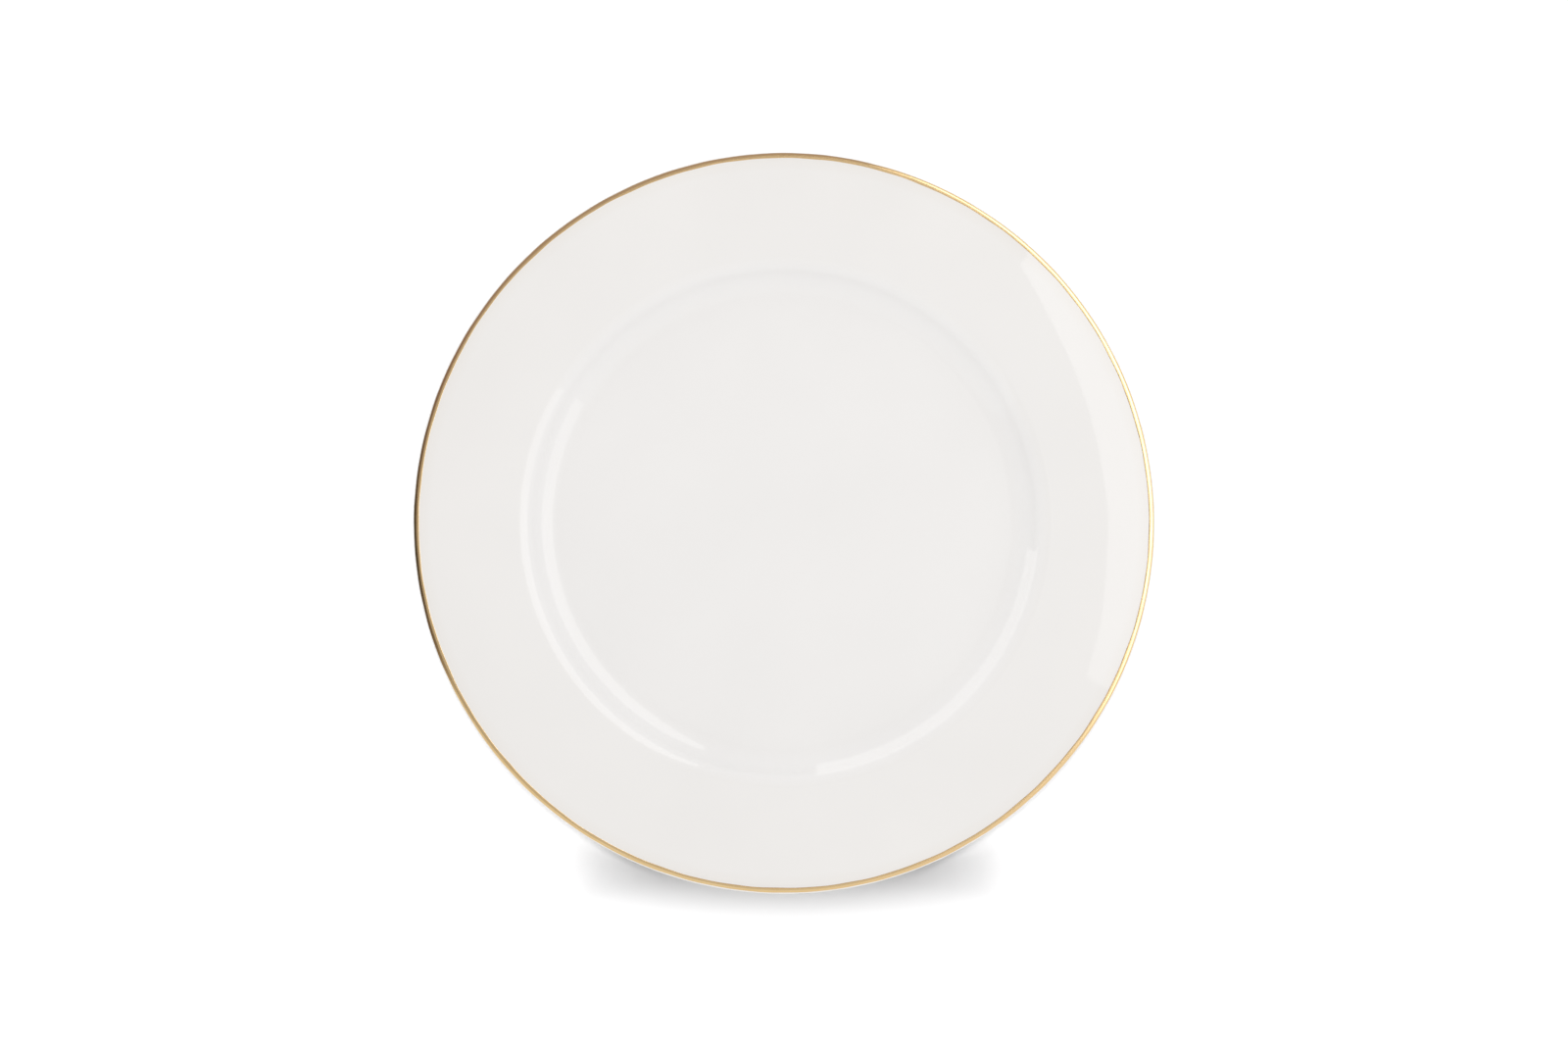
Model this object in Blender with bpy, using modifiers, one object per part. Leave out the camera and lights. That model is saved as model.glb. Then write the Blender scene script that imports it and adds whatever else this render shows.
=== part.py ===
"""China dinner plate: a fired body, its three coats of glaze and the gold line on its lip.

Frame: metres, +Z up. The plate lies on its foot ring, face up. The origin is the centre of the
foot ring's seat, so the table is the plane z = 0 and the plate was turned about the Z axis.

Every piece is turned from one outline, which is the outside of the glaze. The outline starts on
the axis at the top, runs out over the face, round the lip and back in along the underside. Each
of its points has a normal that points out of the china, and a depth is measured against that
normal: depth 0 is the outside of the glaze, and a negative depth stands proud of the glaze.
"""
from math import atan2, cos, pi, radians, sin, tan

import bpy

OBJECT_NAME = "china_dinner_plate"

# Face of the plate
PLATE_RADIUS = 0.135
WELL_HEIGHT = 0.0094
WELL_CORNER_RADIUS = 0.08755      # where the well's plane and the cove's slope would meet
RIM_CORNER_RADIUS = 0.09422       # where the cove's slope and the rim's slope would meet
COVE_SLOPE = radians(40.4)
RIM_SLOPE = radians(2.0)
WELL_FILLET = 0.0140
RIM_FILLET = 0.0097

# Lip
LIP_THICKNESS = 0.0030
LIP_FILLET = 0.0014

# Underside
WELL_THICKNESS = 0.0046
UNDER_RIM_SLOPE = radians(3.6)
UNDER_COVE_THICKNESS = 0.0046
SHOULDER_FILLET = 0.0090
UNDER_COVE_FILLET = 0.0162

# Foot ring
SEAT_RADIUS = 0.0785              # middle of the bare ring that the plate stands on
SEAT_WIDTH = 0.0024
SEAT_ROUNDING = 0.0006
FOOT_ROOT_FILLET = 0.0016
FOOT_INNER_FILLET = 0.0025
FOOT_WALL_SLOPE = radians(80)
FOOT_INNER_SLOPE = radians(68)
GLAZE_STOP_HEIGHT = 0.0014        # the glaze is wiped off the foot below this height

# Coats, each laid over the one below it
GLAZE_THICKNESS = 0.0002
GOLD_THICKNESS = 0.00015
COAT_GAP = 0.0003
GOLD_INNER_RADIUS = 0.1327
BODY_DEPTH = GLAZE_THICKNESS + COAT_GAP

# Facets
TURN_STEPS = 60
WIDE_ARC_STEPS = 3
SMALL_ARC_STEPS = 2
LIP_STEPS = 5
FACE_GLAZE_LIP_POINTS = 2         # the face glaze takes the lip's first points,
GOLD_LIP_POINTS = 4               # and the gold covers them and the seam behind them
MERGE_DISTANCE = 0.00001
SHARP_ANGLE = radians(35)


def normal_of(heading):
    """Return the normal that points out of the china where the outline runs along heading."""
    return (-sin(heading), cos(heading))


def line_sample(start, heading, radius):
    """Return the point at this radius on the line through start, with the line's normal."""
    height = start[1] + (radius - start[0]) * tan(heading)
    return ((radius, height), normal_of(heading))


def meeting_point(point_a, heading_a, point_b, heading_b):
    """Return the point where two lines in the profile's plane cross."""
    slope_a = tan(heading_a)
    slope_b = tan(heading_b)
    rise = point_b[1] - point_a[1] + slope_a * point_a[0] - slope_b * point_b[0]
    radius = rise / (slope_a - slope_b)
    return (radius, point_a[1] + (radius - point_a[0]) * slope_a)


def heading_between(start, end):
    return atan2(end[1] - start[1], end[0] - start[0])


def rounded_corner(before, corner, after, fillet, steps):
    """Return the points and normals of the arc that rounds a corner of the outline."""
    heading_in = heading_between(before, corner)
    heading_out = heading_between(corner, after)
    turn = (heading_out - heading_in + pi) % (2 * pi) - pi
    side = 1 if turn < 0 else -1
    tangent = fillet * tan(abs(turn) / 2)
    start = (corner[0] - tangent * cos(heading_in), corner[1] - tangent * sin(heading_in))
    normal = normal_of(heading_in)
    centre = (start[0] - side * fillet * normal[0], start[1] - side * fillet * normal[1])
    samples = []
    for step in range(steps + 1):
        normal = normal_of(heading_in + turn * step / steps)
        point = (centre[0] + side * fillet * normal[0], centre[1] + side * fillet * normal[1])
        samples.append((point, normal))
    return samples


def glaze_stop(start, end):
    """Return the sample where the glaze stops on the foot wall that runs from start to end."""
    share = (GLAZE_STOP_HEIGHT - start[1]) / (end[1] - start[1])
    radius = start[0] + share * (end[0] - start[0])
    return ((radius, GLAZE_STOP_HEIGHT), normal_of(heading_between(start, end)))


def outline_corners():
    """Return the outline's corners before they are rounded, from the face to the underside."""
    ceiling = WELL_HEIGHT - WELL_THICKNESS
    well_corner = (WELL_CORNER_RADIUS, WELL_HEIGHT)
    rim_rise = (RIM_CORNER_RADIUS - WELL_CORNER_RADIUS) * tan(COVE_SLOPE)
    rim_corner = (RIM_CORNER_RADIUS, WELL_HEIGHT + rim_rise)
    lip_rise = (PLATE_RADIUS - RIM_CORNER_RADIUS) * tan(RIM_SLOPE)
    lip_top = (PLATE_RADIUS, rim_corner[1] + lip_rise)
    lip_bottom = (PLATE_RADIUS, lip_top[1] - LIP_THICKNESS)
    under_cove = (WELL_CORNER_RADIUS, WELL_HEIGHT - UNDER_COVE_THICKNESS / cos(COVE_SLOPE))
    shoulder = meeting_point(lip_bottom, UNDER_RIM_SLOPE, under_cove, COVE_SLOPE)
    cove_foot = meeting_point(under_cove, COVE_SLOPE, (0, ceiling), 0)

    # Only the body reaches the seat. The outline runs BODY_DEPTH below it, so that the body itself
    # stands on the table.
    seat_height = -BODY_DEPTH
    outer_reach = (SEAT_ROUNDING + BODY_DEPTH) * tan(FOOT_WALL_SLOPE / 2)
    inner_reach = (SEAT_ROUNDING + BODY_DEPTH) * tan(FOOT_INNER_SLOPE / 2)
    seat_outside = (SEAT_RADIUS + SEAT_WIDTH / 2 + outer_reach, seat_height)
    seat_inside = (SEAT_RADIUS - SEAT_WIDTH / 2 - inner_reach, seat_height)
    foot_root = meeting_point(seat_outside, FOOT_WALL_SLOPE, (0, ceiling), 0)
    foot_inner = meeting_point(seat_inside, -FOOT_INNER_SLOPE, (0, ceiling), 0)
    return {
        "well_centre": (0, WELL_HEIGHT),
        "well_corner": well_corner,
        "rim_corner": rim_corner,
        "lip_top": lip_top,
        "lip_bottom": lip_bottom,
        "shoulder": shoulder,
        "cove_foot": cove_foot,
        "foot_root": foot_root,
        "seat_outside": seat_outside,
        "seat_inside": seat_inside,
        "foot_inner": foot_inner,
        "under_centre": (0, ceiling),
    }


def outline_stretches():
    """Return the outline as named stretches, each a list of points with their normals."""
    corners = outline_corners()
    names = list(corners)
    fillets = {
        "well_corner": (WELL_FILLET, WIDE_ARC_STEPS),
        "rim_corner": (RIM_FILLET, WIDE_ARC_STEPS),
        "lip_top": (LIP_FILLET, LIP_STEPS),
        "lip_bottom": (LIP_FILLET, WIDE_ARC_STEPS),
        "shoulder": (SHOULDER_FILLET, SMALL_ARC_STEPS),
        "cove_foot": (UNDER_COVE_FILLET, SMALL_ARC_STEPS),
        "foot_root": (FOOT_ROOT_FILLET, SMALL_ARC_STEPS),
        "seat_outside": (SEAT_ROUNDING + BODY_DEPTH, SMALL_ARC_STEPS),
        "seat_inside": (SEAT_ROUNDING + BODY_DEPTH, SMALL_ARC_STEPS),
        "foot_inner": (FOOT_INNER_FILLET, SMALL_ARC_STEPS),
    }
    stretches = {}
    for name, (fillet, steps) in fillets.items():
        place = names.index(name)
        before = corners[names[place - 1]]
        after = corners[names[place + 1]]
        stretches[name] = rounded_corner(before, corners[name], after, fillet, steps)

    stretches["well_centre"] = [(corners["well_centre"], (0, 1))]
    stretches["under_centre"] = [(corners["under_centre"], (0, -1))]
    stretches["gold_edge"] = [line_sample(corners["rim_corner"], RIM_SLOPE, GOLD_INNER_RADIUS)]
    stretches["outer_stop"] = [glaze_stop(corners["foot_root"], corners["seat_outside"])]
    stretches["inner_stop"] = [glaze_stop(corners["seat_inside"], corners["foot_inner"])]
    return stretches


def at_depth(samples, depth):
    """Return the (radius, height) points at this depth under the given stretch of outline."""
    return [(r - depth * normal[0], z - depth * normal[1]) for (r, z), normal in samples]


def join_stretches(stretches, names):
    joined = []
    for name in names:
        joined += stretches[name]
    return joined


def coat_profile(samples, outer_depth, thickness):
    """Return the profile of a coat: its outer face, then its inner face on the way back."""
    inner_face = at_depth(samples, outer_depth + thickness)
    return at_depth(samples, outer_depth) + inner_face[::-1]


def clear_scene():
    for item in list(bpy.data.objects):
        bpy.data.objects.remove(item, do_unlink=True)


def make_collection():
    collection = bpy.data.collections.new(OBJECT_NAME)
    bpy.context.scene.collection.children.link(collection)
    return collection


def make_material(name, colour, roughness, metallic):
    material = bpy.data.materials.new(name)
    material.use_nodes = True
    shader = material.node_tree.nodes["Principled BSDF"]
    shader.inputs["Base Color"].default_value = (*colour, 1)
    shader.inputs["Roughness"].default_value = roughness
    shader.inputs["Metallic"].default_value = metallic
    material.diffuse_color = (*colour, 1)
    return material


def turned_part(collection, name, profile, material):
    """Turn a profile about the Z axis. One that starts off the axis is a ring and closes itself."""
    count = len(profile)
    edges = [(place, place + 1) for place in range(count - 1)]
    if profile[0][0] > 0:
        edges.append((count - 1, 0))
    mesh = bpy.data.meshes.new(name)
    mesh.from_pydata([(radius, 0, height) for radius, height in profile], edges, [])
    part = bpy.data.objects.new(name, mesh)
    collection.objects.link(part)

    screw = part.modifiers.new("Turn", "SCREW")
    screw.axis = "Z"
    screw.angle = 2 * pi
    screw.steps = TURN_STEPS
    screw.render_steps = TURN_STEPS
    screw.use_merge_vertices = True
    screw.merge_threshold = MERGE_DISTANCE
    shade_by_angle(part)
    part.data.materials.clear()
    part.data.materials.append(material)
    return part


def shade_by_angle(part):
    """Keep the turned mesh, smooth along its curves and crisp at its edges."""
    depsgraph = bpy.context.evaluated_depsgraph_get()
    turned = bpy.data.meshes.new_from_object(part.evaluated_get(depsgraph))
    profile_mesh = part.data
    part.modifiers.clear()
    part.data = turned
    turned.name = part.name
    bpy.data.meshes.remove(profile_mesh)
    turned.shade_smooth()
    turned.set_sharp_from_angle(angle=SHARP_ANGLE)


def make_china_body(collection, stretches):
    """The fired body in one piece: well, cove, rim and foot ring, bare only on the foot's seat."""
    samples = join_stretches(stretches, [
        "well_centre", "well_corner", "rim_corner", "lip_top", "lip_bottom", "shoulder",
        "cove_foot", "foot_root", "seat_outside", "seat_inside", "foot_inner", "under_centre",
    ])
    material = make_material("bare_china", (0.78, 0.75, 0.70), 0.55, 0)
    turned_part(collection, "china_body", at_depth(samples, BODY_DEPTH), material)


def make_glazes(collection, stretches):
    """Three coats: over the face, over the back and inside the foot ring."""
    glaze = make_material("white_glaze", (0.84, 0.83, 0.81), 0.05, 0)
    lip = stretches["lip_top"]

    face = join_stretches(stretches, ["well_centre", "well_corner", "rim_corner"])
    face += lip[:FACE_GLAZE_LIP_POINTS]
    turned_part(collection, "face_glaze", coat_profile(face, 0, GLAZE_THICKNESS), glaze)

    back = lip[FACE_GLAZE_LIP_POINTS:]
    back += join_stretches(stretches, [
        "lip_bottom", "shoulder", "cove_foot", "foot_root", "outer_stop",
    ])
    turned_part(collection, "back_glaze", coat_profile(back, 0, GLAZE_THICKNESS), glaze)

    foot_well = join_stretches(stretches, ["inner_stop", "foot_inner", "under_centre"])
    foot_well_profile = coat_profile(foot_well[::-1], 0, GLAZE_THICKNESS)[::-1]
    turned_part(collection, "foot_well_glaze", foot_well_profile, glaze)


def make_gold_line(collection, stretches):
    """The gold line lies on the glaze, over the seam between the face and back coats."""
    gold = make_material("polished_gold", (0.83, 0.58, 0.28), 0.18, 1)
    samples = stretches["gold_edge"] + stretches["lip_top"][:GOLD_LIP_POINTS]
    outer_depth = -(COAT_GAP + GOLD_THICKNESS)
    profile = coat_profile(samples, outer_depth, GOLD_THICKNESS)
    turned_part(collection, "gold_rim_line", profile, gold)


def main():
    clear_scene()
    collection = make_collection()
    stretches = outline_stretches()
    make_china_body(collection, stretches)
    make_glazes(collection, stretches)
    make_gold_line(collection, stretches)


main()
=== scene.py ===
"""Looks of the china dinner plate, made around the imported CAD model. Metres, +Z up.

The plate lies on its foot ring, face up, and +Y is the top of the plate as the camera sees it.
Every visible piece is turned from one outline, the outside of the glaze. The outline runs from
the axis out over the face, round the lip and back in along the underside. A place on it is a
length along it, and a depth is measured inwards from it: a negative depth stands proud.
"""
from math import atan2, ceil, cos, dist, pi, radians, sin, tan

import bpy
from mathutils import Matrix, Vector


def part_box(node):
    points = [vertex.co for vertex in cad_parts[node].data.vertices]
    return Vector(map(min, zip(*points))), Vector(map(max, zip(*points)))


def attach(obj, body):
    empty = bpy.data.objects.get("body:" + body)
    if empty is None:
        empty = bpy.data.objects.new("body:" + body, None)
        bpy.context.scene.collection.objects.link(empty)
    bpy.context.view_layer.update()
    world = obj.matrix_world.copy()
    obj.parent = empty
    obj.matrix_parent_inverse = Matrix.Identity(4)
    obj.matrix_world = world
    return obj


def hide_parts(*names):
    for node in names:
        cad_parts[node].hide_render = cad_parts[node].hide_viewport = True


# Outline of the face. The plate's radius and the well's height come from the frame.
WELL_CORNER_RADIUS = 0.08755
RIM_CORNER_RADIUS = 0.09422
COVE_SLOPE = radians(40.4)
RIM_SLOPE = radians(2.0)
WELL_FILLET = 0.0140
RIM_FILLET = 0.0097

# Outline of the lip and the underside
LIP_THICKNESS = 0.0030
LIP_FILLET = 0.0014
WELL_THICKNESS = 0.0046
UNDER_RIM_SLOPE = radians(3.6)
UNDER_COVE_THICKNESS = 0.0046
SHOULDER_FILLET = 0.0090
UNDER_COVE_FILLET = 0.0162
SEAT_RADIUS = 0.0785
SEAT_WIDTH = 0.0024
SEAT_ROUNDING = 0.0006
FOOT_ROOT_FILLET = 0.0016
FOOT_INNER_FILLET = 0.0025
FOOT_WALL_SLOPE = radians(80)
FOOT_INNER_SLOPE = radians(68)
WALL_NORMAL = 0.9                 # a wall's normal points outwards by at least this much
SEAT_ROUNDING_TOP = 0.002         # the rounding of the foot's seat lies below this height
FOOT_REACH = 0.006                # the glaze stops within this length of the seat's rounding

# Coats
CAD_GLAZE_THICKNESS = 0.0002
BODY_DEPTH = 0.0005
COAT_ROOT_DEPTH = 0.00052         # a coat bites into the body by a hair, so no gap shows
GLAZE_STOP_HEIGHT = 0.0014        # the glaze is wiped off the foot below this height
GLAZE_EDGE_WIDTH = 0.0008
GLAZE_MARGIN = 2 * GLAZE_EDGE_WIDTH    # this near a soft edge, only its own points are used
GLAZE_WAVER = 0.00010
GOLD_INNER_RADIUS = 0.1327
GOLD_RISE = 0.00003
GOLD_ROOT_DEPTH = 0.00005
GOLD_EDGE_WIDTH = 0.00012
GOLD_MARGIN = 3 * GOLD_EDGE_WIDTH
GOLD_WAVER = 0.00004
GOLD_LIP_TURN = radians(43)       # the gold follows the lip's curve this far round
SEAM_LIP_TURN = radians(18)       # the face and back glazes meet here, under the gold

# Unevenness of the edges. Each wave has its number of crests in a turn and its phase.
WAVES = ((3, 0.4), (7, 2.1), (16, 4.4), (37, 1.3), (61, 5.2))
FOOT_WELL_PHASE = 1               # each edge starts elsewhere on the waves, so none run alike
GOLD_INNER_PHASE = 2
GOLD_OUTER_PHASE = 3

# Meshes
TURN_STEPS = 480
ARC_STEP = radians(2)
EDGE_STEPS = 5
HALVINGS = 30                     # steps of the search for a height along the outline
AXIS_RADIUS = 1e-9                # a point nearer the axis than this lies on it
SMOOTH_ANGLE = radians(30)
FACE_PIECE = "face_glaze_coat"

# Shader nodes
NOISE_MIDDLE = (0.25, 0.75)       # most of a noise's values lie in here
MIX_INPUTS = (0, 6, 7)            # the Mix node's sockets for colours: factor, first, second
MIX_RESULT = 2

# Glaze. In all the materials a scale is a number of features in a metre, and a range is the
# least and the most.
GLAZE_COLOURS_WITH_COVE_LIGHT = (                 # share of the plate's radius, and the glaze's colour there
    (0.00, (0.855, 0.845, 0.825)),
    (0.62, (0.855, 0.845, 0.825)),
    # painted light: the cove's stops are whiter, to offset the shade that falls in the cove
    (0.66, (0.877, 0.869, 0.852)),
    (0.69, (0.877, 0.869, 0.852)),
    (0.715, (0.850, 0.838, 0.815)),
    (0.95, (0.850, 0.836, 0.810)),
    (0.99, (0.830, 0.805, 0.765)),
)
CLOUD_SCALE = 22
CLOUD_RANGE = (0.988, 1.012)
SPECK_SCALE = 55
SPECK_EDGE = (0.004, 0.010)       # a speck fades out between these shares of its cell
SPECK_FLOOR = 0.80                # a cell has a speck where its random value is above this
SPECK_STRENGTH = 0.25
SPECK_COLOUR = (0.45, 0.34, 0.24, 1)
RIPPLE_SCALE = 85
RIPPLE_HEIGHT = 0.000006
GLAZE_GLOSS_SCALE = 60
GLAZE_ROUGHNESS = (0.012, 0.032)
GLAZE_SPECULAR = 0.30

# Bare china
GRAIN_SCALE = 3500
GRAIN_STRENGTH = 0.6
GRAIN_HEIGHT = 0.00004
BARE_COLOURS = ((0.80, 0.765, 0.71, 1), (0.70, 0.665, 0.61, 1))
BARE_ROUGHNESS = (0.55, 0.75)
WEAR_SCALE = 240
WEAR_RANGE = (0.0, 0.55)
WEAR_COLOUR = (0.56, 0.54, 0.51, 1)

# Gold
STREAKS_AROUND = 14               # in one radian round the line
STREAKS_ACROSS = 3000
STREAK_STRENGTH = 0.5
STREAK_HEIGHT = 0.00001
GOLD_COLOURS = ((0.90, 0.69, 0.38, 1), (0.84, 0.61, 0.31, 1))
GOLD_ROUGHNESS = (0.10, 0.24)

# Floor
TOOTH_SCALE = 900
TOOTH_STRENGTH = 0.2
TOOTH_HEIGHT = 0.00005
FLOOR_COLOUR = (0.62, 0.62, 0.62, 1)
FLOOR_ROUGHNESS = 0.9
FLOOR_SPECULAR = 0.1

# Camera
FRAME_WIDTH = 0.570               # what the view spans at the height of the lip
CAMERA_DISTANCE = 0.85
CAMERA_LEAN = radians(2)          # the camera stands this far below the middle of the picture
SENSOR_WIDTH = 36

# Studio. An even dome and a weak key light everything. The softbox, the strip light, the room
# and the dark ground are seen in the gloss only. The floor light only reaches the floor, where
# the plate and an unseen card cast the shadow.
DOME_LIGHT = (0.954, 0.947, 0.953)
KEY_PLACE = (0.12, 0.24, 0.62)
KEY_SIZE = 0.35
KEY_POWER = 0.35
LIGHT_COLOUR = (1.0, 0.99, 0.975, 1)
SOFTBOX_HEIGHT = 1.20
SOFTBOX_REACH = 1.20
SOFTBOX_EDGE = (                  # azimuth in degrees, and the near edge's distance there
    (-30, 0.300), (-27.8, 0.262), (-27.2, 0.2215), (-24, 0.2172), (-18, 0.2118), (-12, 0.2064),
    (3, 0.2014), (20, 0.2021), (28, 0.2071), (35, 0.2128), (47, 0.2325), (48, 0.262), (57, 0.300),
    (62, 0.400), (71, 0.750),
)
SOFTBOX_FADE = (-0.10, 0.06)      # it grows brighter along Y between these places
SOFTBOX_STRENGTHS = (1.5, 2.15)
STRIP_RADIUS = 0.158              # the strip light stands round the plate's upper left
STRIP_HEIGHTS = (0.060, 0.215)    # of its lower and its upper edge
STRIP_AZIMUTHS = (97, 170)
STRIP_FADE = (0.165, 0.215)       # it fades out between these heights
STRIP_STRENGTHS = (2.35, 0)
FLOOR_LIGHT_LEAN = radians(7)     # from overhead, towards the top of the picture
FLOOR_LIGHT_SPREAD = radians(20)
FLOOR_LIGHT_STRENGTH = 3.15
SHADE_PLACE = (0.002, -0.121, 0.07)    # the middle of the unseen card
SHADE_SIZE = (0.084, 0.0105)      # its half width and half depth
ROOM = (                          # azimuth in degrees from +X, and what the gloss sees there
    (-180, (0.07, 0.07, 0.06)),
    (-166, (0.11, 0.08, 0.07)),
    (-158, (0.30, 0.24, 0.18)),
    (-154, (0.84, 0.82, 0.80)),
    (-90, (0.84, 0.82, 0.82)),
    (0, (0.98, 0.94, 0.98)),
    (66, (0.85, 0.82, 0.80)),
    (78, (0.46, 0.40, 0.40)),
    (130, (0.42, 0.36, 0.37)),
    (152, (0.29, 0.22, 0.22)),
    (168, (0.14, 0.11, 0.10)),
    (180, (0.07, 0.07, 0.06)),
)
OVERHEAD = (0.62, 0.60, 0.60)     # what the gloss sees straight above, on the camera's side
OVERHEAD_EDGE = (radians(7), radians(1.5))    # it fades in between these angles from upright
DARK_GROUND_AZIMUTHS = (76, 203)  # here the gloss sees the room's dark side instead of the floor
DARK_GROUND_RADII = (0.142, 6.0)
DARK_GROUND_HEIGHT = 0.0005       # just above the floor, so the gloss sees it first
BACKDROP = (1, 1, 1, 1)
FLOOR_SIZE = 80                   # so wide that its edges don't show in a low view
SECTOR_STEPS = 32                 # of every curved stage piece


# ---------------------------------------------------------------- outline

def normal_of(heading):
    """Return the normal that points out of the china where the outline runs along heading."""
    return (-sin(heading), cos(heading))


def heading_between(start, end):
    """Return the direction from one point of the profile to another, as an angle."""
    return atan2(end[1] - start[1], end[0] - start[0])


def meeting_point(point_a, heading_a, point_b, heading_b):
    """Return the point where two lines in the profile's plane cross."""
    slope_a = tan(heading_a)
    slope_b = tan(heading_b)
    rise = point_b[1] - point_a[1] + slope_a * point_a[0] - slope_b * point_b[0]
    radius = rise / (slope_a - slope_b)
    return (radius, point_a[1] + (radius - point_a[0]) * slope_a)


def rounded_corner(before, corner, after, fillet):
    """Return the points and normals of the arc that rounds a corner of the outline."""
    heading_in = heading_between(before, corner)
    heading_out = heading_between(corner, after)
    turn = (heading_out - heading_in + pi) % (2 * pi) - pi
    side = 1 if turn < 0 else -1
    tangent = fillet * tan(abs(turn) / 2)
    start = (corner[0] - tangent * cos(heading_in), corner[1] - tangent * sin(heading_in))
    normal = normal_of(heading_in)
    centre = (start[0] - side * fillet * normal[0], start[1] - side * fillet * normal[1])
    steps = ceil(abs(turn) / ARC_STEP)
    samples = []
    for step in range(steps + 1):
        normal = normal_of(heading_in + turn * step / steps)
        point = (centre[0] + side * fillet * normal[0], centre[1] + side * fillet * normal[1])
        samples.append((point, normal))
    return samples


def outline_corners():
    """Return the outline's corners before they are rounded, each with its fillet."""
    plate_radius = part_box("back_glaze")[1].x
    well_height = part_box("face_glaze")[0].z + CAD_GLAZE_THICKNESS
    ceiling = well_height - WELL_THICKNESS
    rim_rise = (RIM_CORNER_RADIUS - WELL_CORNER_RADIUS) * tan(COVE_SLOPE)
    rim_corner = (RIM_CORNER_RADIUS, well_height + rim_rise)
    lip_rise = (plate_radius - RIM_CORNER_RADIUS) * tan(RIM_SLOPE)
    lip_top = (plate_radius, rim_corner[1] + lip_rise)
    lip_bottom = (plate_radius, lip_top[1] - LIP_THICKNESS)
    under_cove = (WELL_CORNER_RADIUS, well_height - UNDER_COVE_THICKNESS / cos(COVE_SLOPE))
    shoulder = meeting_point(lip_bottom, UNDER_RIM_SLOPE, under_cove, COVE_SLOPE)
    cove_foot = meeting_point(under_cove, COVE_SLOPE, (0, ceiling), 0)

    # Only the body reaches the seat, so the outline runs BODY_DEPTH below the table there.
    seat_fillet = SEAT_ROUNDING + BODY_DEPTH
    outer_reach = seat_fillet * tan(FOOT_WALL_SLOPE / 2)
    inner_reach = seat_fillet * tan(FOOT_INNER_SLOPE / 2)
    seat_outside = (SEAT_RADIUS + SEAT_WIDTH / 2 + outer_reach, -BODY_DEPTH)
    seat_inside = (SEAT_RADIUS - SEAT_WIDTH / 2 - inner_reach, -BODY_DEPTH)
    foot_root = meeting_point(seat_outside, FOOT_WALL_SLOPE, (0, ceiling), 0)
    foot_inner = meeting_point(seat_inside, -FOOT_INNER_SLOPE, (0, ceiling), 0)
    return (
        ((0, well_height), 0),
        ((WELL_CORNER_RADIUS, well_height), WELL_FILLET),
        (rim_corner, RIM_FILLET),
        (lip_top, LIP_FILLET),
        (lip_bottom, LIP_FILLET),
        (shoulder, SHOULDER_FILLET),
        (cove_foot, UNDER_COVE_FILLET),
        (foot_root, FOOT_ROOT_FILLET),
        (seat_outside, seat_fillet),
        (seat_inside, seat_fillet),
        (foot_inner, FOOT_INNER_FILLET),
        ((0, ceiling), 0),
    )


class Outline:
    """The rounded outline, read by the length along it. A sample is a point and its normal."""

    def __init__(self, corners):
        self.samples = [(corners[0][0], (0, 1))]
        for before, corner, after in zip(corners, corners[1:], corners[2:]):
            self.samples += rounded_corner(before[0], corner[0], after[0], corner[1])
        self.samples.append((corners[-1][0], (0, -1)))
        self.lengths = [0]
        for (start, _), (end, _) in zip(self.samples, self.samples[1:]):
            self.lengths.append(self.lengths[-1] + dist(start, end))

    def end(self):
        """Return the outline's whole length."""
        return self.lengths[-1]

    def point(self, length, depth):
        """Return the (radius, height) of the point at this length and depth."""
        place = 1
        while place < len(self.lengths) - 1 and self.lengths[place] < length:
            place += 1
        span = self.lengths[place] - self.lengths[place - 1]
        share = (length - self.lengths[place - 1]) / span
        (start, normal_in), (end, normal_out) = self.samples[place - 1:place + 1]
        values = []
        for axis in (0, 1):
            value = start[axis] + share * (end[axis] - start[axis])
            normal = normal_in[axis] + share * (normal_out[axis] - normal_in[axis])
            values.append(value - depth * normal)
        return tuple(values)

    def between(self, start, end):
        """Return the lengths of the outline's own points between two lengths."""
        return [length for length in self.lengths if start < length < end]

    def first_length(self, is_reached):
        """Return the length of the first sample for which is_reached says yes."""
        for length, (point, normal) in zip(self.lengths, self.samples):
            if is_reached(point, normal):
                return length
        return self.end()


def length_at_height(outline, height, start, end):
    """Return the length where the outline passes a height between two lengths, by halving."""
    rising = outline.point(end, 0)[1] > outline.point(start, 0)[1]
    for _ in range(HALVINGS):
        middle = (start + end) / 2
        if (outline.point(middle, 0)[1] < height) == rising:
            start = middle
        else:
            end = middle
    return start


# ---------------------------------------------------------------- turned pieces

def waver(angle, amount):
    """Return a small unevenness that closes on itself after one turn."""
    return amount * sum(sin(count * angle + phase) for count, phase in WAVES)


def rounded_edge(edge, inward, width, crest_depth, root_depth):
    """Return the (length, depth) points that raise a coat from its edge to its full height.

    inward is 1 where the coat lies further along the outline than its edge, and -1 otherwise.
    """
    points = []
    for step in range(EDGE_STEPS + 1):
        turn = pi / 2 * step / EDGE_STEPS
        length = edge + inward * width * (1 - cos(turn))
        points.append((length, root_depth + (crest_depth - root_depth) * sin(turn)))
    return points


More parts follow.
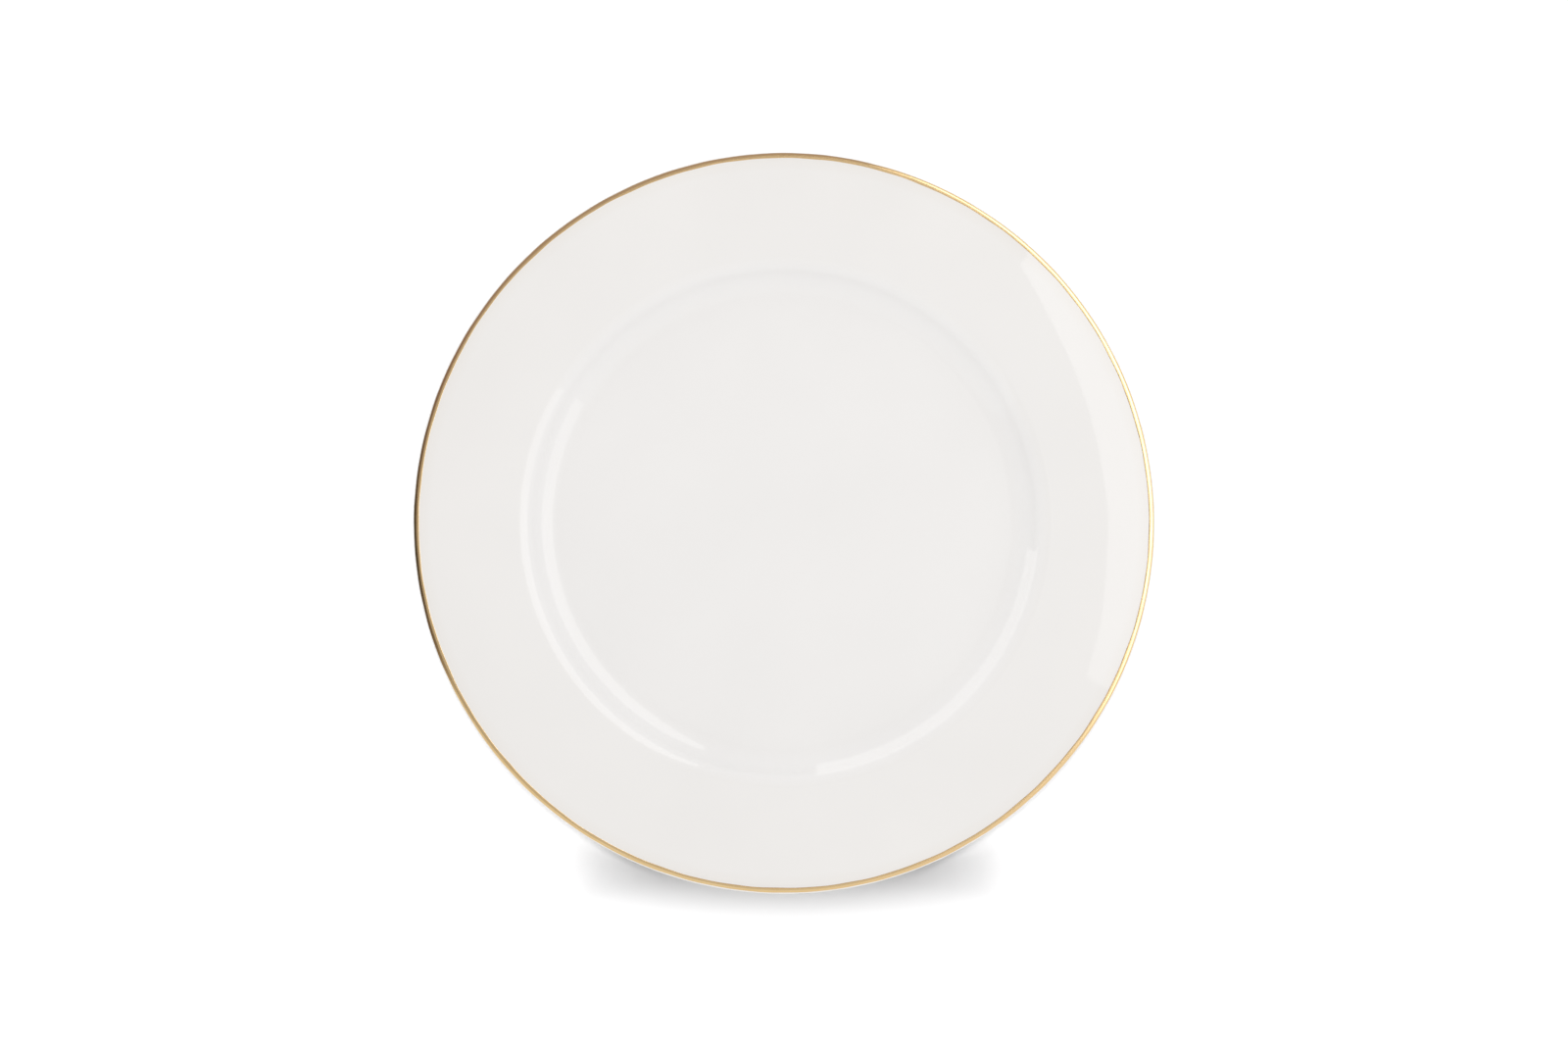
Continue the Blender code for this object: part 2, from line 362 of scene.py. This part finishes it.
def turned_mesh(name, profile_at):
    """Turn a closed profile about the Z axis. profile_at gives its points at each angle."""
    vertices = []
    rings = []
    poles = {place for place, point in enumerate(profile_at(0)) if point[0] < AXIS_RADIUS}
    for step in range(TURN_STEPS):
        angle = 2 * pi * step / TURN_STEPS
        ring = []
        for place, (radius, height) in enumerate(profile_at(angle)):
            if place in poles and step > 0:
                ring.append(rings[0][place])
                continue
            ring.append(len(vertices))
            vertices.append((radius * cos(angle), radius * sin(angle), height))
        rings.append(ring)

    faces = []
    count = len(rings[0])
    for step in range(TURN_STEPS):
        ring = rings[step]
        next_ring = rings[(step + 1) % TURN_STEPS]
        for place in range(count):
            after = (place + 1) % count
            if place in poles and after in poles:
                continue
            corners = (ring[place], ring[after], next_ring[after], next_ring[place])
            faces.append(tuple(dict.fromkeys(corners)))
    mesh = bpy.data.meshes.new(name)
    mesh.from_pydata(vertices, [], faces)
    mesh.validate()
    mesh.shade_smooth()
    mesh.set_sharp_from_angle(angle=SMOOTH_ANGLE)
    return mesh


def add_piece(name, profile_at, material, node):
    """Make a turned piece that stands for a CAD node."""
    piece = bpy.data.objects.new(name, turned_mesh(name, profile_at))
    bpy.context.scene.collection.objects.link(piece)
    piece.data.materials.append(material)
    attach(piece, "root")
    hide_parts(node)


def coat_points(outline, outer_face, root_depth):
    """Return a coat's closed profile: its outer face, and its root on the way back."""
    outer = [outline.point(length, depth) for length, depth in outer_face]
    root = [outline.point(length, root_depth) for length, _ in outer_face[1:-1]]
    return outer + root[::-1]


def add_body(outline, material):
    """The fired body in one piece, under all the coats."""
    lengths = [0] + outline.between(0, outline.end()) + [outline.end()]
    points = [outline.point(length, BODY_DEPTH) for length in lengths]
    add_piece("fired_body", lambda angle: points, material, "china_body")


def add_face_glaze(outline, seam, material):
    """The coat from the middle of the face to the seam on the lip."""
    lengths = [0] + outline.between(0, seam) + [seam]
    outer = [outline.point(length, 0) for length in lengths]
    root = [outline.point(length, COAT_ROOT_DEPTH) for length in lengths]
    points = outer + root[::-1]
    add_piece(FACE_PIECE, lambda angle: points, material, "face_glaze")


def add_back_glaze(outline, seam, stop, material):
    """The coat from the seam on the lip to the foot's outer wall, where it ends in a soft edge."""
    def profile_at(angle):
        edge = stop + waver(angle, GLAZE_WAVER)
        middle = outline.between(seam, stop - GLAZE_MARGIN)
        edge_points = rounded_edge(edge, -1, GLAZE_EDGE_WIDTH, 0, COAT_ROOT_DEPTH)
        outer_face = [(seam, COAT_ROOT_DEPTH), (seam, 0)]
        outer_face += [(length, 0) for length in middle]
        outer_face += edge_points[::-1]
        return coat_points(outline, outer_face, COAT_ROOT_DEPTH)

    add_piece("back_glaze_coat", profile_at, material, "back_glaze")


def add_foot_well_glaze(outline, stop, material):
    """The coat inside the foot ring, from its soft edge on the foot's inner wall to the middle."""
    def profile_at(angle):
        edge = stop + waver(angle + FOOT_WELL_PHASE, GLAZE_WAVER)
        middle = outline.between(stop + GLAZE_MARGIN, outline.end())
        lengths = middle + [outline.end()]
        outer_face = rounded_edge(edge, 1, GLAZE_EDGE_WIDTH, 0, COAT_ROOT_DEPTH)
        outer = [outline.point(length, depth) for length, depth in outer_face]
        outer += [outline.point(length, 0) for length in lengths]
        root = [outline.point(length, COAT_ROOT_DEPTH) for length in lengths]
        return outer + root[::-1]

    add_piece("foot_well_glaze_coat", profile_at, material, "foot_well_glaze")


def add_gold_line(outline, inner, outer, material):
    """The gold line. Its two edges waver as a brushed line's do."""
    middle = outline.between(inner + GOLD_MARGIN, outer - GOLD_MARGIN)

    def profile_at(angle):
        inner_edge = inner + waver(angle + GOLD_INNER_PHASE, GOLD_WAVER)
        outer_edge = outer + waver(angle + GOLD_OUTER_PHASE, GOLD_WAVER)
        outer_face = rounded_edge(inner_edge, 1, GOLD_EDGE_WIDTH, -GOLD_RISE, GOLD_ROOT_DEPTH)
        outer_face += [(length, -GOLD_RISE) for length in middle]
        far_edge = rounded_edge(outer_edge, -1, GOLD_EDGE_WIDTH, -GOLD_RISE, GOLD_ROOT_DEPTH)
        outer_face += far_edge[::-1]
        return coat_points(outline, outer_face, GOLD_ROOT_DEPTH)

    add_piece("gold_line", profile_at, material, "gold_rim_line")


def add_plate(materials):
    """Make the plate's five pieces in place of the five CAD nodes."""
    outline = Outline(outline_corners())
    lip_start = outline.first_length(lambda point, normal: normal[0] > 0)
    seat_start = outline.first_length(
        lambda point, normal: normal[0] > WALL_NORMAL and point[1] < SEAT_ROUNDING_TOP
    )
    seat_end = outline.first_length(lambda point, normal: normal[0] < 0 and point[1] < 0)
    # The lip's curve starts at the rim's slope, a little before the outline runs level.
    turn_start = lip_start - LIP_FILLET * RIM_SLOPE
    seam = turn_start + LIP_FILLET * SEAM_LIP_TURN
    gold_outer = turn_start + LIP_FILLET * GOLD_LIP_TURN
    gold_inner = turn_start - (outline.point(turn_start, 0)[0] - GOLD_INNER_RADIUS)
    outer_stop = length_at_height(outline, GLAZE_STOP_HEIGHT, seat_start - FOOT_REACH, seat_start)
    inner_stop = length_at_height(outline, GLAZE_STOP_HEIGHT, seat_end, seat_end + FOOT_REACH)

    add_body(outline, materials["bare_china"])
    add_face_glaze(outline, seam, materials["white_glaze"])
    add_back_glaze(outline, seam, outer_stop, materials["white_glaze"])
    add_foot_well_glaze(outline, inner_stop, materials["white_glaze"])
    add_gold_line(outline, gold_inner, gold_outer, materials["polished_gold"])


# ---------------------------------------------------------------- materials

def add_node(tree, kind, inputs=None, **settings):
    """Add a shader node. An input is a plain value or the socket that feeds it."""
    node = tree.nodes.new(kind)
    for name, value in settings.items():
        setattr(node, name, value)
    for name, value in (inputs or {}).items():
        if isinstance(value, bpy.types.NodeSocket):
            tree.links.new(value, node.inputs[name])
        else:
            node.inputs[name].default_value = value
    return node


def new_material(name):
    """Return a new material, its node tree and its Principled shader."""
    material = bpy.data.materials.new(name)
    material.use_nodes = True
    tree = material.node_tree
    return material, tree, tree.nodes["Principled BSDF"]


def set_stops(ramp, stops):
    """Give a colour ramp its stops, each a position and a colour."""
    elements = ramp.color_ramp.elements
    while len(elements) > 1:
        elements.remove(elements[-1])
    elements[0].position = stops[0][0]
    elements[0].color = (*stops[0][1], 1)
    for position, colour in stops[1:]:
        elements.new(position).color = (*colour, 1)


def object_place(tree):
    """Return the place of a surface point in the plate's own frame."""
    return add_node(tree, "ShaderNodeTexCoord").outputs["Object"]


def noise(tree, vector, scale, detail):
    """Return the value of a noise with this many features in a metre."""
    inputs = {"Vector": vector, "Scale": scale, "Detail": detail}
    return add_node(tree, "ShaderNodeTexNoise", inputs).outputs["Fac"]


def calculate(tree, operation, first, second):
    """Return the number that a Math node makes of two others."""
    return add_node(tree, "ShaderNodeMath", {0: first, 1: second}, operation=operation).outputs[0]


def calculate_vector(tree, operation, *values):
    """Return the outputs of a Vector Math node: Vector, or Value for a length."""
    inputs = dict(enumerate(values))
    return add_node(tree, "ShaderNodeVectorMath", inputs, operation=operation).outputs


def map_range(tree, value, source, target):
    """Return the value moved from one range onto another, and kept inside that."""
    inputs = {
        "Value": value,
        "From Min": source[0],
        "From Max": source[1],
        "To Min": target[0],
        "To Max": target[1],
    }
    return add_node(tree, "ShaderNodeMapRange", inputs).outputs["Result"]


def spread(tree, value, target):
    """Return a noise moved onto a range."""
    return map_range(tree, value, NOISE_MIDDLE, target)


def bumped(tree, height, strength, distance):
    """Return the normal of a surface that a height between 0 and 1 makes uneven."""
    inputs = {"Strength": strength, "Distance": distance, "Height": height}
    return add_node(tree, "ShaderNodeBump", inputs).outputs["Normal"]


def axis_vector(tree, place):
    """Return the vector from the plate's axis to a surface point, level with it."""
    return calculate_vector(tree, "MULTIPLY", place, (1, 1, 0))["Vector"]


def mixed(tree, factor, first, second, blend_type="MIX"):
    """Return the colour that a Mix node makes of first and second."""
    node = add_node(tree, "ShaderNodeMix", data_type="RGBA", blend_type=blend_type)
    for index, value in zip(MIX_INPUTS, (factor, first, second)):
        if isinstance(value, bpy.types.NodeSocket):
            tree.links.new(value, node.inputs[index])
        else:
            node.inputs[index].default_value = value
    return node.outputs[MIX_RESULT]


def connect(tree, shader, colour, roughness, normal):
    """Feed the three things that vary over a surface into its shader."""
    tree.links.new(colour, shader.inputs["Base Color"])
    tree.links.new(roughness, shader.inputs["Roughness"])
    tree.links.new(normal, shader.inputs["Normal"])


def glaze_colour_with_cove_light(tree, place):
    """Return the glaze's colour: it follows the radius, whiter in the cove as painted light against
    the cove's shade, and faint clouds vary it.
    """
    radius = calculate_vector(tree, "LENGTH", axis_vector(tree, place))["Value"]
    share = calculate(tree, "DIVIDE", radius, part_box("back_glaze")[1].x)
    ramp = add_node(tree, "ShaderNodeValToRGB", {"Fac": share})
    set_stops(ramp, GLAZE_COLOURS_WITH_COVE_LIGHT)
    clouds = spread(tree, noise(tree, place, CLOUD_SCALE, detail=3), CLOUD_RANGE)
    shades = {"Red": clouds, "Green": clouds, "Blue": clouds}
    cloud_colour = add_node(tree, "ShaderNodeCombineColor", shades).outputs[0]
    return mixed(tree, 1.0, ramp.outputs["Color"], cloud_colour, "MULTIPLY")


def speck_strength(tree, place):
    """Return how strongly a speck shows: in a few cells, near the cell's own point."""
    cells = add_node(tree, "ShaderNodeTexVoronoi", {"Vector": place, "Scale": SPECK_SCALE})
    near = map_range(tree, cells.outputs["Distance"], SPECK_EDGE, (1, 0))
    chosen = calculate(tree, "GREATER_THAN", cells.outputs["Color"], SPECK_FLOOR)
    specks = calculate(tree, "MULTIPLY", near, chosen)
    return calculate(tree, "MULTIPLY", specks, SPECK_STRENGTH)


def glaze_material():
    """Glossy white glaze: whiter and cooler in the cove, painted light that offsets the shade
    there, and thinner and warmer at the lip.
    """
    material, tree, shader = new_material("white_glaze_finish")
    place = object_place(tree)
    base = glaze_colour_with_cove_light(tree, place)
    colour = mixed(tree, speck_strength(tree, place), base, SPECK_COLOUR)
    roughness = spread(tree, noise(tree, place, GLAZE_GLOSS_SCALE, detail=4), GLAZE_ROUGHNESS)
    ripple = noise(tree, place, RIPPLE_SCALE, detail=1)
    connect(tree, shader, colour, roughness, bumped(tree, ripple, 1, RIPPLE_HEIGHT))
    shader.inputs["Specular IOR Level"].default_value = GLAZE_SPECULAR
    return material


def bare_china_material():
    """Fired china without glaze: fine grain, matte, a little grey where it has been set down."""
    material, tree, shader = new_material("bare_china_finish")
    place = object_place(tree)
    grain = noise(tree, place, GRAIN_SCALE, detail=4)
    wear = spread(tree, noise(tree, place, WEAR_SCALE, detail=3), WEAR_RANGE)
    base = mixed(tree, spread(tree, grain, (0, 1)), *BARE_COLOURS)
    colour = mixed(tree, wear, base, WEAR_COLOUR)
    normal = bumped(tree, grain, GRAIN_STRENGTH, GRAIN_HEIGHT)
    connect(tree, shader, colour, spread(tree, grain, BARE_ROUGHNESS), normal)
    return material


def gold_material():
    """Burnished gold, laid with a brush: faint streaks run round the line."""
    material, tree, shader = new_material("polished_gold_finish")
    level = axis_vector(tree, object_place(tree))
    direction = calculate_vector(tree, "NORMALIZE", level)["Vector"]
    around = calculate_vector(tree, "MULTIPLY", direction, (STREAKS_AROUND,) * 3)["Vector"]
    radius = calculate_vector(tree, "LENGTH", level)["Value"]
    across = calculate(tree, "MULTIPLY", radius, STREAKS_ACROSS)
    lift = add_node(tree, "ShaderNodeCombineXYZ", {"Z": across}).outputs[0]
    brush = calculate_vector(tree, "ADD", around, lift)["Vector"]
    streaks = noise(tree, brush, 1, detail=3)
    colour = mixed(tree, spread(tree, streaks, (0, 1)), *GOLD_COLOURS)
    normal = bumped(tree, streaks, STREAK_STRENGTH, STREAK_HEIGHT)
    connect(tree, shader, colour, spread(tree, streaks, GOLD_ROUGHNESS), normal)
    shader.inputs["Metallic"].default_value = 1.0
    return material


# ---------------------------------------------------------------- studio

def floor_material():
    """Pale paper with a faint tooth. The floor light burns it out to white."""
    material, tree, shader = new_material("floor_paper")
    tooth = noise(tree, object_place(tree), TOOTH_SCALE, detail=2)
    tree.links.new(bumped(tree, tooth, TOOTH_STRENGTH, TOOTH_HEIGHT), shader.inputs["Normal"])
    shader.inputs["Base Color"].default_value = FLOOR_COLOUR
    shader.inputs["Roughness"].default_value = FLOOR_ROUGHNESS
    shader.inputs["Specular IOR Level"].default_value = FLOOR_SPECULAR
    return material


def emission_material(name, inputs):
    """Return a new material that only shines, its node tree, its shader and its output node."""
    material = bpy.data.materials.new(name)
    material.use_nodes = True
    tree = material.node_tree
    tree.nodes.clear()
    light = add_node(tree, "ShaderNodeEmission", inputs)
    output = add_node(tree, "ShaderNodeOutputMaterial", {"Surface": light.outputs[0]})
    return material, tree, light, output


def light_material(name, axis, places, strengths):
    """Light that is added to what lies behind it. It changes along an axis between two places."""
    material, tree, light, output = emission_material(name, {"Color": LIGHT_COLOUR})
    parts = add_node(tree, "ShaderNodeSeparateXYZ", {"Vector": object_place(tree)})
    strength = map_range(tree, parts.outputs[axis], places, strengths)
    tree.links.new(strength, light.inputs["Strength"])
    clear = add_node(tree, "ShaderNodeBsdfTransparent")
    both = add_node(tree, "ShaderNodeAddShader", {0: light.outputs[0], 1: clear.outputs[0]})
    tree.links.new(both.outputs[0], output.inputs["Surface"])
    return material


def add_stage_mesh(name, points, faces, material):
    """Make a piece of the stage, which isn't part of the plate."""
    mesh = bpy.data.meshes.new(name)
    mesh.from_pydata(points, [], faces)
    mesh.materials.append(material)
    piece = bpy.data.objects.new(name, mesh)
    bpy.context.scene.collection.objects.link(piece)
    return piece


def add_floor():
    """The pale floor that the plate lies on."""
    half = FLOOR_SIZE / 2
    corners = ((-half, -half, 0), (half, -half, 0), (half, half, 0), (-half, half, 0))
    return add_stage_mesh("paper_floor", corners, [(0, 1, 2, 3)], floor_material())


def polar_point(azimuth, radius, height):
    """Return the point at an azimuth in degrees, at a radius from the plate's axis."""
    return (radius * cos(radians(azimuth)), radius * sin(radians(azimuth)), height)


def azimuth_steps(first, last):
    """Return evenly spaced azimuths, the first and the last among them."""
    return [first + (last - first) * step / SECTOR_STEPS for step in range(SECTOR_STEPS + 1)]


def add_band(name, near, far, material):
    """Make a stage piece that joins two rows of points, and that only the gloss sees."""
    count = len(near)
    faces = []
    for place in range(count - 1):
        faces.append((place, place + 1, count + place + 1, count + place))
    band = add_stage_mesh(name, near + far, faces, material)
    band.visible_camera = False
    band.visible_diffuse = False
    band.visible_shadow = False
    return band


def reach_only(light, piece, name):
    """Let a light, or a shining mesh, reach one object and nothing else."""
    receivers = bpy.data.collections.new(name)
    receivers.objects.link(piece)
    light.light_linking.receiver_collection = receivers


def add_main_softbox():
    """A big level softbox on the right, set out from the point that the plate's middle mirrors."""
    rise = SOFTBOX_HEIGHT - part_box("face_glaze")[1].z
    mirrored_y = -camera_place()[1] * rise / CAMERA_DISTANCE
    near = []
    far = []
    for azimuth, radius in SOFTBOX_EDGE:
        for row, reach in ((near, radius), (far, SOFTBOX_REACH)):
            x, y, height = polar_point(azimuth, reach, SOFTBOX_HEIGHT)
            row.append((x, y + mirrored_y, height))
    light = light_material("softbox_light", "Y", SOFTBOX_FADE, SOFTBOX_STRENGTHS)
    add_band("main_softbox", near, far, light)


def add_strip_light():
    """A low curved strip light, which the cove mirrors on the lower right. Gold isn't lit by it."""
    low, high = STRIP_HEIGHTS
    azimuths = azimuth_steps(*STRIP_AZIMUTHS)
    near = [polar_point(azimuth, STRIP_RADIUS, low) for azimuth in azimuths]
    far = [polar_point(azimuth, STRIP_RADIUS, high) for azimuth in azimuths]
    light = light_material("strip_light", "Z", STRIP_FADE, STRIP_STRENGTHS)
    strip = add_band("strip_light", near, far, light)
    reach_only(strip, bpy.data.objects[FACE_PIECE], "glaze_only")


def add_dark_ground():
    """What the gloss sees in place of the white floor on the room's dark side."""
    material, tree, light, _ = emission_material("dark_ground", {})
    tree.links.new(side_colour(tree, object_place(tree)), light.inputs["Color"])
    inner, outer = DARK_GROUND_RADII
    azimuths = azimuth_steps(*DARK_GROUND_AZIMUTHS)
    near = [polar_point(azimuth, inner, DARK_GROUND_HEIGHT) for azimuth in azimuths]
    far = [polar_point(azimuth, outer, DARK_GROUND_HEIGHT) for azimuth in azimuths]
    add_band("dark_ground", near, far, material)


def add_shade():
    """An oval card that is never seen and only casts a soft shadow on the floor."""
    half_width, half_depth = SHADE_SIZE
    points = []
    for azimuth in azimuth_steps(0, 360)[:-1]:
        x, y, _ = polar_point(azimuth, 1, 0)
        points.append(Vector(SHADE_PLACE) + Vector((half_width * x, half_depth * y, 0)))
    face = tuple(range(len(points)))
    shade = add_stage_mesh("shade", points, [face], bpy.data.materials.new("shade_card"))
    shade.visible_camera = False
    shade.visible_diffuse = False
    shade.visible_glossy = False


def add_light(name, kind, place):
    """Add a light at place that shines towards the origin and isn't seen in the gloss."""
    data = bpy.data.lights.new(name, kind)
    light = bpy.data.objects.new(name, data)
    bpy.context.scene.collection.objects.link(light)
    light.location = place
    light.rotation_euler = (-Vector(place)).to_track_quat("-Z", "Y").to_euler()
    light.visible_glossy = False
    return light


def add_lights(floor):
    """A soft key above the top of the picture, and the light that only reaches the floor."""
    key = add_light("key", "AREA", KEY_PLACE)
    key.data.size = KEY_SIZE
    key.data.energy = KEY_POWER

    place = (0, sin(FLOOR_LIGHT_LEAN), cos(FLOOR_LIGHT_LEAN))
    light = add_light("floor_light", "SUN", place)
    light.data.angle = FLOOR_LIGHT_SPREAD
    light.data.energy = FLOOR_LIGHT_STRENGTH
    reach_only(light, floor, "floor_only")


def side_colour(tree, direction):
    """Return what the gloss sees round the plate: pale right and in front, dark on the left."""
    parts = add_node(tree, "ShaderNodeSeparateXYZ", {"Vector": direction})
    azimuth = calculate(tree, "ARCTAN2", parts.outputs["Y"], parts.outputs["X"])
    share = map_range(tree, azimuth, (-pi, pi), (0, 1))
    ramp = add_node(tree, "ShaderNodeValToRGB", {"Fac": share})
    set_stops(ramp, [((degrees + 180) / 360, colour) for degrees, colour in ROOM])
    return ramp.outputs["Color"]


def room_colour(tree, direction):
    """Return what the gloss sees: the room round the plate, and the camera's side overhead."""
    height = add_node(tree, "ShaderNodeSeparateXYZ", {"Vector": direction}).outputs["Z"]
    outer, inner = OVERHEAD_EDGE
    overhead = map_range(tree, height, (cos(outer), cos(inner)), (0, 1))
    return mixed(tree, overhead, side_colour(tree, direction), (*OVERHEAD, 1))


def add_world():
    """The world: a dome for the light, a room for the gloss and plain white as the backdrop."""
    world = bpy.data.worlds.new("studio_room")
    bpy.context.scene.world = world
    world.use_nodes = True
    world.cycles.sampling_method = "NONE"
    tree = world.node_tree
    tree.nodes.clear()
    direction = add_node(tree, "ShaderNodeTexCoord").outputs["Generated"]
    ray = add_node(tree, "ShaderNodeLightPath")
    dome = add_node(tree, "ShaderNodeBackground", {"Color": (*DOME_LIGHT, 1)})
    room = add_node(tree, "ShaderNodeBackground", {"Color": room_colour(tree, direction)})
    backdrop = add_node(tree, "ShaderNodeBackground", {"Color": BACKDROP})
    light = add_node(
        tree, "ShaderNodeMixShader",
        {0: ray.outputs["Is Glossy Ray"], 1: dome.outputs[0], 2: room.outputs[0]},
    )
    seen = add_node(
        tree, "ShaderNodeMixShader",
        {0: ray.outputs["Is Camera Ray"], 1: light.outputs[0], 2: backdrop.outputs[0]},
    )
    add_node(tree, "ShaderNodeOutputWorld", {"Surface": seen.outputs[0]})


def camera_place():
    """Return where the camera stands: above the plate, a little below the picture's middle."""
    lip_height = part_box("face_glaze")[1].z
    plate_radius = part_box("back_glaze")[1].x
    # The lean draws the plate's outline down by this much, so the camera aims as much lower.
    drop = plate_radius ** 2 / CAMERA_DISTANCE * sin(CAMERA_LEAN)
    rise = CAMERA_DISTANCE * cos(CAMERA_LEAN)
    return (0, -CAMERA_DISTANCE * sin(CAMERA_LEAN) - drop, lip_height + rise)


def add_camera():
    """Look down on the plate."""
    data = bpy.data.cameras.new("camera")
    data.sensor_width = SENSOR_WIDTH
    data.lens = SENSOR_WIDTH * CAMERA_DISTANCE / FRAME_WIDTH
    camera = bpy.data.objects.new("camera", data)
    bpy.context.scene.collection.objects.link(camera)
    camera.location = camera_place()
    camera.rotation_euler = (CAMERA_LEAN, 0, 0)
    bpy.context.scene.camera = camera


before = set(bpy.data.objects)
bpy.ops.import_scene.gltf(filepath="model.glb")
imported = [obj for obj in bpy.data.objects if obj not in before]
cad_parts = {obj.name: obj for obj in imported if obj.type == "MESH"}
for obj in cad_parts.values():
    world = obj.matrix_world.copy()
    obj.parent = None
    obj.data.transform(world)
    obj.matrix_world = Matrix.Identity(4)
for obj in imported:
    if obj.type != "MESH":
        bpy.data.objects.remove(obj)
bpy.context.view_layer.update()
add_camera()
add_plate({
    "bare_china": bare_china_material(),
    "white_glaze": glaze_material(),
    "polished_gold": gold_material(),
})
add_main_softbox()
add_strip_light()
add_dark_ground()
add_shade()
add_lights(add_floor())
add_world()
bpy.context.scene.view_settings.view_transform = "Standard"
